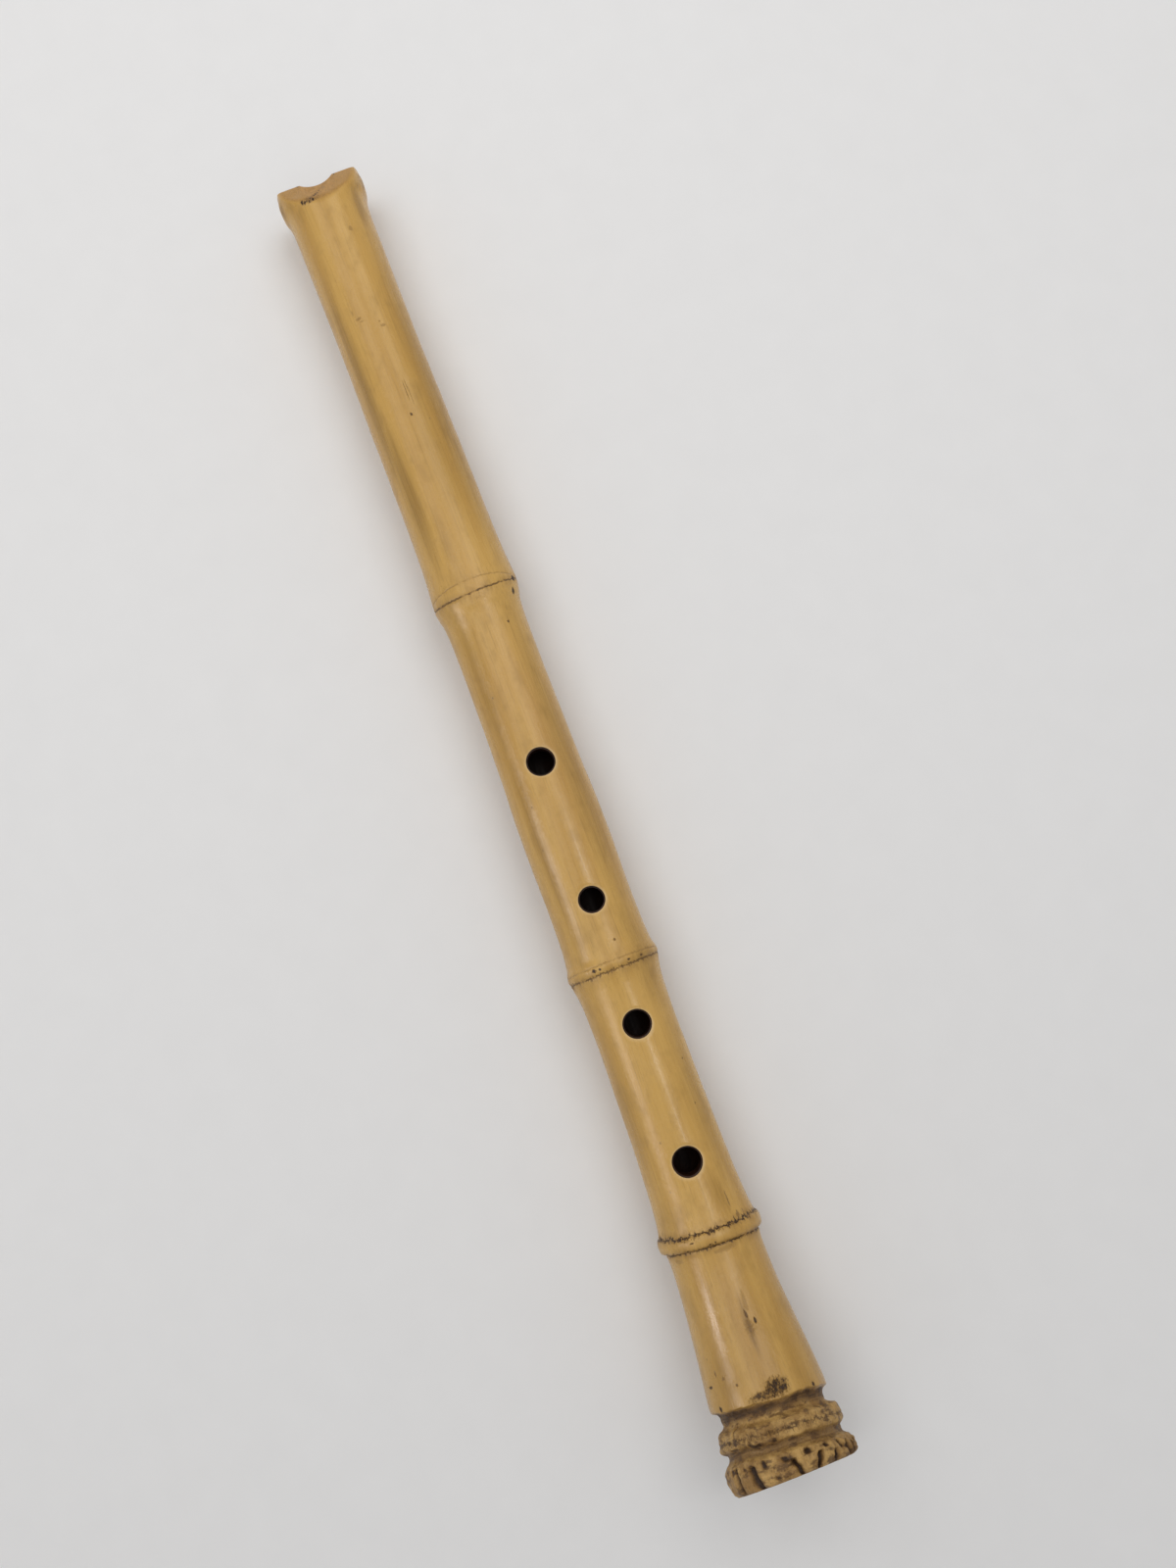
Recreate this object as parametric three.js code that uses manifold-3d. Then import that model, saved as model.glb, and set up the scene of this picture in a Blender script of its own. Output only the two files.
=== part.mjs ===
// A shakuhachi: a Japanese end-blown flute, cut from the root end of one bamboo culm.
//
// Millimetres. +X runs from the mouth end to the root end and the finger holes face +Z. The flute lies
// on its back on the plane Z = 0, with the origin under the middle of its bounding box.
//
// A station is a distance along the culm's centreline from the mouth end. Turned pieces are made
// straight, with the station as x, and then bent onto that centreline.
import * as THREE from "three";
import { mergeVertices } from "three/addons/utils/BufferGeometryUtils.js";
import Module from "manifold-3d";

// Centreline [x, y, z]: almost straight from the mouth to the third node, then curving up to the root.
const CENTRELINE = [
  [0, 0, 18.1],
  [90, 1.3, 18.6],
  [180, 2.2, 19.0],
  [270, 2.3, 19.2],
  [350, 2.0, 19.15],
  [420, 1.5, 18.9],
  [457, 1.0, 20.0],
  [479.8, 0.5, 23.0],
  [499.3, 0.2, 27.8],
  [518.6, 0.0, 33.9],
  [542.6, 0.0, 43.3],
];

// Outside of the culm, [station, radius], in the order it grows.
const MOUTH_FLARE = [[0, 18.2], [4, 18.7], [8.5, 18.45], [13, 17.2], [18, 16.75]];
const FIRST_INTERNODE = [[44, 16.55], [80, 16.4], [112, 16.65], [145, 16.7], [166, 16.95], [180, 17.45]];
const FIRST_NODE = [[187, 18.0], [190.5, 18.15], [194, 17.7], [199, 16.6]];
const SECOND_INTERNODE = [
  [206, 16.2], [222, 16.1], [250, 16.35], [268, 16.7], [285, 17.25], [300, 17.35], [322, 17.0], [336, 17.15],
];
const SECOND_NODE = [[345, 17.7], [349.5, 18.8], [353.5, 18.0], [358, 17.2]];
const THIRD_INTERNODE = [[366, 16.7], [378, 16.5], [399, 16.8], [422, 17.15], [437, 17.65], [447, 18.2]];
const THIRD_NODE = [[452, 18.8], [454.5, 19.9], [457, 20.6], [459.5, 20.4], [462, 18.8]];
const LAST_INTERNODE = [[466, 18.2], [480, 18.7], [493, 19.8], [507, 21.1], [517, 21.9]];
const CARVED_LIP = [[519.3, 21.8], [520.8, 19.8], [523.2, 19.6]];
const ROOT_RIDGE = [[525, 21.6], [528, 22.9], [531.6, 23.4], [533, 22.0], [535, 21.7]];
const ROOT_FLARE = [[536.8, 23.0], [540, 24.2], [543.5, 24.5], [545, 23.6]];
const OUTLINE = [
  ...MOUTH_FLARE, ...FIRST_INTERNODE, ...FIRST_NODE, ...SECOND_INTERNODE, ...SECOND_NODE,
  ...THIRD_INTERNODE, ...THIRD_NODE, ...LAST_INTERNODE, ...CARVED_LIP, ...ROOT_RIDGE, ...ROOT_FLARE,
];
const LENGTH = OUTLINE.at(-1)[0];

// The playing bore inside its lining, [station, radius], narrowest near the third node.
const BORE = [[0, 10.0], [60, 9.9], [200, 9.3], [330, 8.8], [440, 8.3], [470, 8.3], [500, 8.6], [LENGTH, 9.4]];
const BORE_RING_SPACING = 24;
const LINING_WALL = 1.0;
const GAP = 0.3; // clearance left between one piece and the next
const OVERRUN = 5; // how far a tool that cuts through an end face runs past it

// Finger holes, and the thumb hole on the underside. side is +1 for a hole that faces +Z.
const HOLES = [
  { station: 232, diameter: 10.4, side: -1 },
  { station: 266, diameter: 11.6, side: 1 },
  { station: 323, diameter: 10.6, side: 1 },
  { station: 373, diameter: 11.4, side: 1 },
  { station: 427.5, diameter: 11.8, side: 1 },
];
const HOLE_LINE_OFFSET = 1.0; // the row of holes runs this far towards +Y of the centreline
const HOLE_COAT_WALL = 0.6; // lacquer on the walls of the holes
const HOLE_COAT_SETBACK = 0.5; // the lacquer stops this far below the culm's skin
const HOLE_REACH = 30; // from the centreline to well outside the culm

// The mouth end: one flat oblique cut across the front makes the blowing edge where it meets the bore.
const CUT_ANGLE = THREE.MathUtils.degToRad(34.2); // between the cut and the culm's axis
const CUT_HEIGHT = 6.9; // where the cut meets the end face, above the centreline
const CUT_TOOL = 80; // length and width of the block that makes the cut
const INSERT_TOP_HALF_WIDTH = 8.0; // the insert is a wedge, wider at the blowing edge
const INSERT_FOOT_HALF_WIDTH = 5.5;
const INSERT_FOOT_STATION = 12.5;

const FLAT_TOOL = { length: 700, width: 100, depth: 20 }; // takes off what would be below Z = 0

const SEGMENTS_ROUND_CULM = 28;
const SEGMENTS_ROUND_HOLE = 20;
const SAME_POINT = 1e-4; // vertices closer than this are one

const wasm = await Module();
wasm.setup();

const centreline = new THREE.CatmullRomCurve3(CENTRELINE.map((point) => new THREE.Vector3(...point)));

// The frame at a station: x along the culm, y to its side, z towards the finger holes.
// The centreline runs on straight past both ends.
function atStation(station) {
  const onCulm = THREE.MathUtils.clamp(station, 0, LENGTH);
  const tangent = centreline.getTangentAt(onCulm / LENGTH);
  const side = new THREE.Vector3(0, 0, 1).cross(tangent).normalize();
  const up = tangent.clone().cross(side);
  const point = centreline.getPointAt(onCulm / LENGTH).addScaledVector(tangent, station - onCulm);
  return new THREE.Matrix4().makeBasis(tangent, side, up).setPosition(point);
}

function solidOf(geometry) {
  const bare = geometry.clone();
  bare.deleteAttribute("normal");
  bare.deleteAttribute("uv");
  const merged = mergeVertices(bare, SAME_POINT);
  return new wasm.Manifold(
    new wasm.Mesh({
      numProp: 3,
      vertProperties: merged.attributes.position.array,
      triVerts: Uint32Array.from(merged.index.array),
    }),
  );
}

function geometryOf(solid) {
  const mesh = solid.getMesh();
  const geometry = new THREE.BufferGeometry();
  geometry.setAttribute("position", new THREE.BufferAttribute(mesh.vertProperties, mesh.numProp));
  geometry.setIndex(new THREE.BufferAttribute(mesh.triVerts, 1));
  const flatShaded = geometry.toNonIndexed();
  flatShaded.computeVertexNormals();
  return flatShaded;
}

// A solid turned from [station, radius] points and bent onto the centreline.
function turned(outline) {
  const first = outline[0][0];
  const last = outline.at(-1)[0];
  const profile = [[first, 0], ...outline, [last, 0]].map(([station, radius]) => new THREE.Vector2(radius, station));
  const geometry = new THREE.LatheGeometry(profile, SEGMENTS_ROUND_CULM).rotateZ(-Math.PI / 2);
  const position = geometry.attributes.position;
  const vertex = new THREE.Vector3();
  for (let i = 0; i < position.count; i++) {
    vertex.fromBufferAttribute(position, i);
    const frame = atStation(vertex.x);
    vertex.setX(0).applyMatrix4(frame);
    position.setXYZ(i, vertex.x, vertex.y, vertex.z);
  }
  return solidOf(geometry);
}

// The radius of an outline at any station.
function radiusAt(outline, station) {
  const next = Math.max(1, outline.findIndex(([end]) => end >= station));
  const [before, radiusBefore] = outline[next - 1];
  const [after, radiusAfter] = outline[next];
  return THREE.MathUtils.mapLinear(station, before, after, radiusBefore, radiusAfter);
}

// Everything within this distance outside the playing bore. It can overrun both ends, to cut through them.
function boreGrownBy(margin, overrun = 0) {
  const rings = Math.ceil(LENGTH / BORE_RING_SPACING);
  const outline = Array.from({ length: rings + 1 }, (_, i) => {
    const station = (LENGTH * i) / rings;
    return [station, radiusAt(BORE, station) + margin];
  });
  if (overrun > 0) {
    outline.unshift([-overrun, outline[0][1]]);
    outline.push([LENGTH + overrun, outline.at(-1)[1]]);
  }
  return turned(outline);
}

function holeTool({ station, diameter, side }, wall) {
  const radius = diameter / 2 - wall;
  const geometry = new THREE.CylinderGeometry(radius, radius, HOLE_REACH, SEGMENTS_ROUND_HOLE)
    .rotateX(Math.PI / 2)
    .translate(0, HOLE_LINE_OFFSET, (side * HOLE_REACH) / 2)
    .applyMatrix4(atStation(station));
  return solidOf(geometry);
}

// The block above the oblique cut at the mouth.
function mouthCut() {
  const block = new THREE.BoxGeometry(CUT_TOOL, CUT_TOOL, CUT_TOOL / 2)
    .translate(0, 0, CUT_TOOL / 4)
    .rotateY(-CUT_ANGLE)
    .translate(0, 0, CUT_HEIGHT)
    .applyMatrix4(atStation(0));
  return solidOf(block);
}

// The blowing-edge wedge as a block, before the cut and the bore shape it. A block with a margin is the
// tool that cuts its seat, so it also overruns the end face.
function wedgeBlock(margin) {
  const start = margin > 0 ? -OVERRUN : 0;
  const foot = INSERT_FOOT_STATION + margin;
  const halfWidth = (station) =>
    margin +
    THREE.MathUtils.mapLinear(station, 0, INSERT_FOOT_STATION, INSERT_TOP_HALF_WIDTH, INSERT_FOOT_HALF_WIDTH);
  const wedge = new THREE.Shape([
    new THREE.Vector2(start, -halfWidth(start)),
    new THREE.Vector2(foot, -halfWidth(foot)),
    new THREE.Vector2(foot, halfWidth(foot)),
    new THREE.Vector2(start, halfWidth(start)),
  ]);
  const block = new THREE.ExtrudeGeometry(wedge, { depth: HOLE_REACH, bevelEnabled: false });
  return solidOf(block.applyMatrix4(atStation(0)));
}

function belowFloor() {
  const { length, width, depth } = FLAT_TOOL;
  return solidOf(new THREE.BoxGeometry(length, width, depth).translate(LENGTH / 2, 0, -depth / 2));
}

// The bamboo: one length of culm, bored out, with its finger holes and the seat for the insert.
// The plane Z = 0 leaves a small flat under the mouth flare and under the third node, which it rests on.
function culm() {
  let body = turned(OUTLINE).subtract(boreGrownBy(LINING_WALL + GAP, OVERRUN));
  HOLES.forEach((hole) => {
    body = body.subtract(holeTool(hole, -GAP));
  });
  return body.subtract(mouthCut()).subtract(wedgeBlock(GAP)).subtract(belowFloor());
}

// The bore's ground coat and lacquer, with the coat that lines each finger hole.
function boreLining() {
  const underSkin = turned(OUTLINE.map(([station, radius]) => [station, radius - HOLE_COAT_SETBACK]));
  let lining = boreGrownBy(LINING_WALL);
  HOLES.forEach((hole) => {
    lining = lining.add(holeTool(hole, 0).intersect(underSkin));
  });
  lining = lining.subtract(boreGrownBy(0, OVERRUN));
  HOLES.forEach((hole) => {
    lining = lining.subtract(holeTool(hole, HOLE_COAT_WALL));
  });
  return lining.subtract(mouthCut()).subtract(wedgeBlock(GAP));
}

// The horn wedge let into the front of the rim. Its inner top edge is the blowing edge.
function blowingEdgeInsert() {
  return wedgeBlock(0).subtract(mouthCut()).subtract(boreGrownBy(0, OVERRUN));
}

function piece(name, solid, material) {
  const mesh = new THREE.Mesh(geometryOf(solid), new THREE.MeshStandardMaterial(material));
  mesh.name = name;
  return mesh;
}

const flute = new THREE.Group();
flute.add(
  piece("culm", culm(), { color: "#be9858", roughness: 0.42, metalness: 0 }),
  piece("bore_lining", boreLining(), { color: "#17110d", roughness: 0.2, metalness: 0 }),
  piece("blowing_edge_insert", blowingEdgeInsert(), { color: "#c9ab72", roughness: 0.35, metalness: 0 }),
);

const middle = new THREE.Box3().setFromObject(flute).getCenter(new THREE.Vector3());
flute.position.set(-middle.x, -middle.y, 0);

export default flute;
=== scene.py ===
import functools
import math

import bmesh
import bpy
import numpy as np
from mathutils import Matrix, Vector


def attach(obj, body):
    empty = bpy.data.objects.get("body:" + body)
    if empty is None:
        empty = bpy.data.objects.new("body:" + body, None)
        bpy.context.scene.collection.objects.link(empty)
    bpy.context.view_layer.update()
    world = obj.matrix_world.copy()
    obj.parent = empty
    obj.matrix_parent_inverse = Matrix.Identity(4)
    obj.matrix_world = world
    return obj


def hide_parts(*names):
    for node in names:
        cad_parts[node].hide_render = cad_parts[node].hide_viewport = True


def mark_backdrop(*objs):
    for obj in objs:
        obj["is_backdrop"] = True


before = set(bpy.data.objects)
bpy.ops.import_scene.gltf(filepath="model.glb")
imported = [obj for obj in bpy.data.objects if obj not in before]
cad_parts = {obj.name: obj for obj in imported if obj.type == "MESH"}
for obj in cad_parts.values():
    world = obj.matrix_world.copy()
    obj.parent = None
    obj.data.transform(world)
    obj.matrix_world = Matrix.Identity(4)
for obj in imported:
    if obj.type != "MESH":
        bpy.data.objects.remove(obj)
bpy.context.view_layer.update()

MM = 0.001
WELD = 0.002 * MM  # vertices closer than this become one

# The same driving dimensions as the CAD model.
CENTRELINE = [
    (0, 0, 18.1), (90, 1.3, 18.6), (180, 2.2, 19.0), (270, 2.3, 19.2), (350, 2.0, 19.15), (420, 1.5, 18.9),
    (457, 1.0, 20.0), (479.8, 0.5, 23.0), (499.3, 0.2, 27.8), (518.6, 0.0, 33.9), (542.6, 0.0, 43.3),
]
CENTRELINE_START = (-275.46, 0.0, 0.0)  # where the frame has the centreline's own origin
MOUTH_FLARE = [(0, 18.2), (4, 18.7), (8.5, 18.45), (13, 17.2), (18, 16.75)]
FIRST_INTERNODE = [(44, 16.55), (80, 16.4), (112, 16.65), (145, 16.7), (166, 16.95), (180, 17.45)]
FIRST_NODE = [(187, 18.0), (190.5, 18.15), (194, 17.7), (199, 16.6)]
SECOND_INTERNODE = [
    (206, 16.2), (222, 16.1), (250, 16.35), (268, 16.7), (285, 17.25), (300, 17.35), (322, 17.0),
]
SECOND_NODE = [(336, 17.15), (345, 17.7), (349.5, 18.8), (353.5, 18.0), (358, 17.2)]
THIRD_INTERNODE = [(366, 16.7), (378, 16.5), (399, 16.8), (422, 17.15), (437, 17.65), (447, 18.2)]
THIRD_NODE = [(452, 18.8), (454.0, 19.3), (455.0, 20.1), (457.3, 20.6), (459.6, 20.3), (461.0, 18.7)]
LAST_INTERNODE = [(466, 18.2), (480, 18.7), (493, 19.8), (507, 21.1), (517, 21.9)]
CARVED_LIP = [(518.9, 21.9), (519.7, 20.2), (521.5, 19.2), (523.9, 19.2)]
ROOT_RIDGE = [
    (525.2, 20.2), (526.1, 22.1), (527.4, 22.8), (531.4, 23.3), (532.5, 22.6), (533.3, 21.3), (534.9, 21.0),
]
ROOT_FLARE = [(536.2, 21.8), (537.2, 23.4), (539.5, 24.3), (543.0, 24.6), (544.3, 24.2), (545, 23.2)]
OUTLINE = (
    MOUTH_FLARE + FIRST_INTERNODE + FIRST_NODE + SECOND_INTERNODE + SECOND_NODE + THIRD_INTERNODE
    + THIRD_NODE + LAST_INTERNODE + CARVED_LIP + ROOT_RIDGE + ROOT_FLARE
)
LENGTH = OUTLINE[-1][0]
BORE = [(0, 10.0), (60, 9.9), (200, 9.3), (330, 8.8), (440, 8.3), (470, 8.3), (500, 8.6), (LENGTH, 9.4)]
LINING_WALL = 1.0
# Station, diameter, and 1 for the front or -1 for the back.
HOLES = [(232, 10.4, -1), (266, 11.6, 1), (323, 10.6, 1), (373, 11.4, 1), (427.5, 11.8, 1)]
HOLE_LINE = 1.0  # the holes' distance from the centreline, across the culm
CUT_SLOPE = math.tan(math.radians(34.2))
CUT_HEIGHT = 6.9
MOUTH_END = 20.0  # the cut has run out before this station
INSERT_TOP = 8.0  # half widths of the insert at the end face and at its foot
INSERT_FOOT = 5.5
INSERT_LENGTH = 12.5

# Fits between the pieces, and finish beyond what the CAD model has.
FIT = 0.02  # glued surfaces are this far apart
TABLE_GAP = 0.02
END_MARGIN = 0.02  # vertices this close to an end are on its sawn face
OVERRUN = 5.0  # a cutter goes on this far past what it cuts
CUTTER_TOP = 30.0  # its height over the centreline, clear of the skin
RIM_DROP = 0.30  # the holes' rims are rubbed down by this much
RIM_WIDTH = 1.1
COAT_WALL = 0.6
COAT_SETBACK = 0.8
SLEEVE_REACH = 9.0  # the stretch of culm round a hole that its lacquered sleeve is trimmed to
SLEEVE_RINGS = 37
FACET_ROUNDING = 2.0
SEAM_DEPTH = 0.36

# Stations of the carved root end.
LIP = 519.0  # where the last internode ends
UPPER_GROOVE = 521.6
RIDGE = 529.0
LOWER_GROOVE = 534.6
FLARE = 536.5
FLARE_RADIUS = 24.0  # turns an angle round the flare into a width

# The culm's rings are oblique to it: station, reach, and how far a ring leans forward at the top and
# towards +Y.
LEANS = [(190.5, 24, 3.2, -0.8), (350, 16, -1.0, -0.3), (457, 14, -0.6, 0.7), (527, 19, 0.0, 1.9)]
# Dark seams round the nodes, and the line along the carved ridge: station, lean at the top, lean to +Y,
# half width, teeth, darkness.
SEAMS = [
    (190.6, 3.0, -0.8, 0.36, 0.28, 0.70),
    (189.9, -1.8, 0.0, 0.30, 0.20, 0.34),
    (351.2, -0.3, -0.5, 0.36, 0.40, 0.66),
    (348.9, -1.6, -0.2, 0.30, 0.25, 0.34),
    (454.4, -0.4, 0.7, 0.46, 0.75, 0.86),
    (461.0, -0.9, 0.8, 0.44, 0.45, 0.78),
    (529.7, 0.0, 1.9, 0.34, 0.90, 0.62),
]
# Marks on the skin: station, angle in degrees, half length along, half width across, darkness.
MARKS = [
    # the mouth and the first internode
    (6, 76, 4.5, 3.0, 0.42), (7, -74, 4.0, 3.0, 0.40), (9.5, 62, 3.0, 2.0, 0.25), (28, 20, 3.5, 1.5, 0.14),
    (31, 22, 1.2, 1.0, 0.35), (66, -21, 1.5, 0.3, 0.30), (69.5, -15, 0.7, 1.6, 0.35),
    (71, -12, 0.4, 1.0, 0.28), (73.5, 12, 0.5, 0.5, 0.35), (75.5, 15, 0.7, 1.3, 0.35),
    (103, 14, 3.0, 0.14, 0.35), (105, 11, 5.5, 0.16, 0.45), (107, 15, 5.5, 0.14, 0.35),
    (115.6, 6, 0.7, 0.6, 0.75), (119, 30, 0.4, 0.4, 0.35),
    # the first node and on to the second
    (190.9, 66, 1.5, 1.5, 1.0), (193.2, -48, 0.7, 4.5, 0.5), (193.5, -28, 0.5, 3.0, 0.4),
    (195.6, 5, 2.2, 4.0, 0.22), (196.4, 58, 1.6, 1.2, 0.9), (208.6, 32, 0.6, 0.6, 0.7),
    (340.3, 13, 0.6, 0.6, 0.6),
    # the second node and on to the third
    (349.0, -24, 0.9, 1.1, 0.9), (349.0, -16, 0.6, 0.6, 0.8), (349.1, 20, 0.6, 0.8, 0.8),
    (349.3, 38, 0.6, 0.8, 0.7), (352.4, -76, 1.4, 1.4, 0.7), (391.5, 50, 0.5, 0.5, 0.5),
    # the third node
    (446, 35, 7.0, 0.35, 0.45), (452.6, 40, 1.8, 1.1, 0.5), (452.6, 50, 1.5, 0.5, 0.4),
    (453.2, -74, 1.6, 1.4, 0.8), (456.4, -22, 0.4, 0.8, 0.7), (458.8, -62, 0.5, 0.5, 0.8),
    (458.8, 2, 0.5, 0.4, 0.8), (458.9, -50, 0.5, 0.6, 0.85), (459.0, -4, 0.5, 0.6, 0.85),
    (459.1, -30, 0.5, 0.8, 0.8), (462.5, -52, 1.2, 3.0, 0.28), (462.5, 12, 1.3, 6.0, 0.30),
    # the last internode
    (484, 11, 5.0, 0.8, 0.30), (488.4, 7.5, 2.0, 0.5, 0.6), (491.7, 14.5, 1.4, 0.5, 0.85),
    (493.5, 7, 3.5, 2.4, 0.32), (504.5, -47, 1.6, 0.4, 0.5), (507, -38, 0.8, 0.7, 0.4),
    (508.5, -60, 0.6, 1.5, 0.8), (510.5, -25, 0.7, 0.5, 0.6), (516.0, 11, 3.9, 5.0, 1.0),
    (516.5, -53, 1.1, 0.8, 0.9), (517.2, -6, 2.2, 5.0, 0.85), (519.5, 50, 1.0, 0.8, 0.9),
    # the back
    (80, 172, 1.4, 0.5, 0.4), (120, -140, 0.7, 0.5, 0.6), (150, 96, 3.0, 0.5, 0.4),
    (274, 150, 0.5, 0.8, 0.6), (300, -118, 2.5, 0.4, 0.5), (405, 168, 0.6, 0.6, 0.6),
    (489, -150, 2.2, 1.2, 0.5), (502, 130, 3.5, 1.0, 0.45),
]
SPECKLED_FROM = 1.6  # marks larger than this are broken up into specks
# Brown weathering in long patches: station, angle, half length, half width, darkness.
WEATHERING = [
    (100, -48, 72, 5.0, 0.65), (145, -38, 50, 5.5, 0.62), (110, 54, 100, 9.0, 0.50),
    (130, 22, 55, 9.0, 0.26), (172, -14, 20, 4.0, 0.20), (225, -38, 60, 5.0, 0.35),
    (300, -36, 70, 5.0, 0.45), (270, 46, 95, 9.0, 0.50), (350, 45, 34, 8.0, 0.45), (410, 50, 50, 7.0, 0.40),
    (404, -58, 40, 5.0, 0.25), (443, 28, 12, 5.0, 0.35), (448, -50, 10, 8.0, 0.25), (493, 6, 24, 2.0, 0.85),
    (508, -36, 18, 6.0, 0.35), (20, 52, 16, 4.0, 0.55), (120, 165, 80, 8.0, 0.50),
    (270, -150, 60, 7.0, 0.45), (410, 150, 50, 8.0, 0.45), (492, -160, 28, 9.0, 0.50),
    (498, 120, 26, 9.0, 0.40),
]
# Where handling has polished the skin brightest: station, angle, half length, half width, polish.
POLISHED = [
    (484, -28, 22, 5.5, 1.0), (400, -26, 50, 5.0, 0.35), (400, 9, 58, 4.0, 0.7), (302, 9, 24, 3.5, 0.7),
]
# The dark scribble low on the mouth's facet, where the cut runs out through the skin, as strokes over a
# stain: station, across, half length, half width, darkness.
SCRIBBLE = [
    (12.8, -4.6, 2.4, 5.2, 0.50), (12.8, -8.7, 1.3, 0.7, 0.90), (13.4, -7.6, 1.2, 0.7, 0.85),
    (12.8, -6.6, 1.6, 0.5, 0.85), (13.6, -5.6, 1.4, 0.7, 0.90), (12.4, -4.9, 1.8, 0.5, 0.80),
    (13.4, -3.9, 1.6, 0.6, 0.95), (11.6, -3.0, 1.9, 0.5, 0.90), (10.8, -2.2, 2.0, 0.6, 0.90),
    (10.4, -1.3, 1.7, 0.5, 0.80), (9.0, -0.3, 1.6, 0.6, 0.70), (7.6, 1.8, 1.6, 1.3, 0.30),
]
# Gouges between the stumps of the roots: angle, start, end, half width, depth, lean across.
GOUGES = [
    (-57, 537.6, 544.6, 1.0, 1.6, 0.0), (-36, 538.0, 545.5, 2.1, 1.9, 0.6),
    (-24, 537.2, 540.4, 1.0, 1.0, 0.0), (-5, 537.6, 540.2, 1.6, 1.0, 0.8),
    (3.5, 539.0, 545.5, 0.95, 2.0, 1.2), (16, 537.2, 539.8, 1.9, 1.1, -0.6),
    (24, 539.2, 545.5, 0.95, 2.1, -1.1), (33, 537.4, 539.6, 1.3, 1.0, 0.4),
    (41, 540.4, 545.5, 0.7, 1.6, -0.2), (49, 537.6, 541.6, 0.9, 1.3, 0.5), (58, 538.4, 545.5, 0.9, 1.6, 0.4),
    (65, 539.6, 545.5, 0.6, 1.2, -0.3), (73, 538.8, 544.4, 0.9, 1.3, 0.0),
]
RANDOM_GOUGES = 15  # more of them, round the back
BACK_OF_ROOT = (88, 275)  # the degrees that they are spaced over
BRANCH_GROOVES = [(30, 184, 104), (202, 344, -100), (362, 450, 106)]  # start, end, angle of a shallow flute
BRANCH_GROOVE_HALF_WIDTH = math.radians(24)
BRANCH_GROOVE_DEPTH = 0.45

RING_SPACING = 3.6
FINE_ZONES = [  # start, end, ring spacing
    (0, 20, 0.7), (182, 200, 0.5), (343, 357, 0.5), (450, 464, 0.45), (464, 510, 1.6), (510, LENGTH, 0.38),
]
HOLE_ZONE = (2.0, 0.6)  # margin round a hole, ring spacing there
COLUMNS = 160
ROOT_START = 508.0  # from here on there are twice as many columns
BORE_RINGS = 120
BORE_COLUMNS = 72
HOLE_COLUMNS = 96

CAMERA = (60.2, -0.7, 523.8)
CAMERA_AIM = (1.9, 18.8, 0.0)
CAMERA_ROLL = math.radians(69.47)  # from +X to the picture's right-hand side
CAMERA_LENS = 29.03


# ---------------------------------------------------------------- curves and noise

def smooth(x):
    """0 below 0, 1 above 1, with a smooth step between."""
    x = np.clip(x, 0, 1)
    return x * x * (3 - 2 * x)


def bump(x, flat=0.0):
    """1 while abs(x) is below flat, and down to 0 where it reaches 1."""
    return smooth((1 - np.abs(x)) / (1 - flat))


def curve_through(points):
    """A smooth function through (x, y) points that doesn't overshoot them."""
    xs, ys = np.array(points, float).T
    widths = np.diff(xs)
    slopes = np.diff(ys) / widths
    tangents = np.zeros(len(xs))
    same_sign = slopes[:-1] * slopes[1:] > 0
    weight = widths[:-1] + widths[1:]
    safe = np.where(same_sign, slopes[:-1] * (widths[:-1] + weight) + slopes[1:] * (widths[1:] + weight), 1)
    tangents[1:-1] = np.where(same_sign, 3 * weight * slopes[:-1] * slopes[1:] / safe, 0)

    def at(x):
        i = np.clip(np.searchsorted(xs, x, side="right") - 1, 0, len(xs) - 2)
        u = np.clip((x - xs[i]) / widths[i], 0, 1)
        rise = (1 - u) ** 2 * (1 + 2 * u) * ys[i] + u * u * (3 - 2 * u) * ys[i + 1]
        return rise + widths[i] * u * (1 - u) * ((1 - u) * tangents[i] - u * tangents[i + 1])

    return at


def noise(seed, station, angle, length, patches):
    """Smooth noise from -1 to 1 that closes round the culm: cells of this length, this many round."""
    rows = int(LENGTH / length) + 3
    lattice = np.random.default_rng(seed).uniform(-1, 1, (rows, patches))
    u = np.clip(station, 0, LENGTH) / length
    v = (angle / math.tau % 1) * patches
    row = u.astype(int)
    column = v.astype(int) % patches
    beside = (column + 1) % patches
    u = smooth(u - row)
    v = smooth(v - np.floor(v))
    here = lattice[row, column] * (1 - v) + lattice[row, beside] * v
    further = lattice[row + 1, column] * (1 - v) + lattice[row + 1, beside] * v
    return here * (1 - u) + further * u


def angle_between(angle, degrees):
    """From a direction given in degrees to these angles, the short way round."""
    return (angle - math.radians(degrees) + math.pi) % math.tau - math.pi


outline = curve_through(OUTLINE)
bore_radius = curve_through(BORE)


# ---------------------------------------------------------------- the centreline

def catmull_rom(points, steps=60):
    """Points along a centripetal Catmull-Rom curve."""
    points = np.array(points, float)
    points = np.vstack([2 * points[0] - points[1], points, 2 * points[-1] - points[-2]])
    u = np.linspace(0, 1, steps, endpoint=False)[:, None]
    pieces = []
    for before, start, end, after in zip(points, points[1:], points[2:], points[3:]):
        first, middle, last = (math.sqrt(np.linalg.norm(b - a)) for a, b in
                               ((before, start), (start, end), (end, after)))
        leaving = (start - before) / first - (end - before) / (first + middle) + (end - start) / middle
        arriving = (end - start) / middle - (after - start) / (middle + last) + (after - end) / last
        pieces.append(
            (2 * u**3 - 3 * u**2 + 1) * start + (u**3 - 2 * u**2 + u) * leaving * middle
            + (3 * u**2 - 2 * u**3) * end + (u**3 - u**2) * arriving * middle
        )
    return np.vstack(pieces + [points[-2:-1]])


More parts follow.
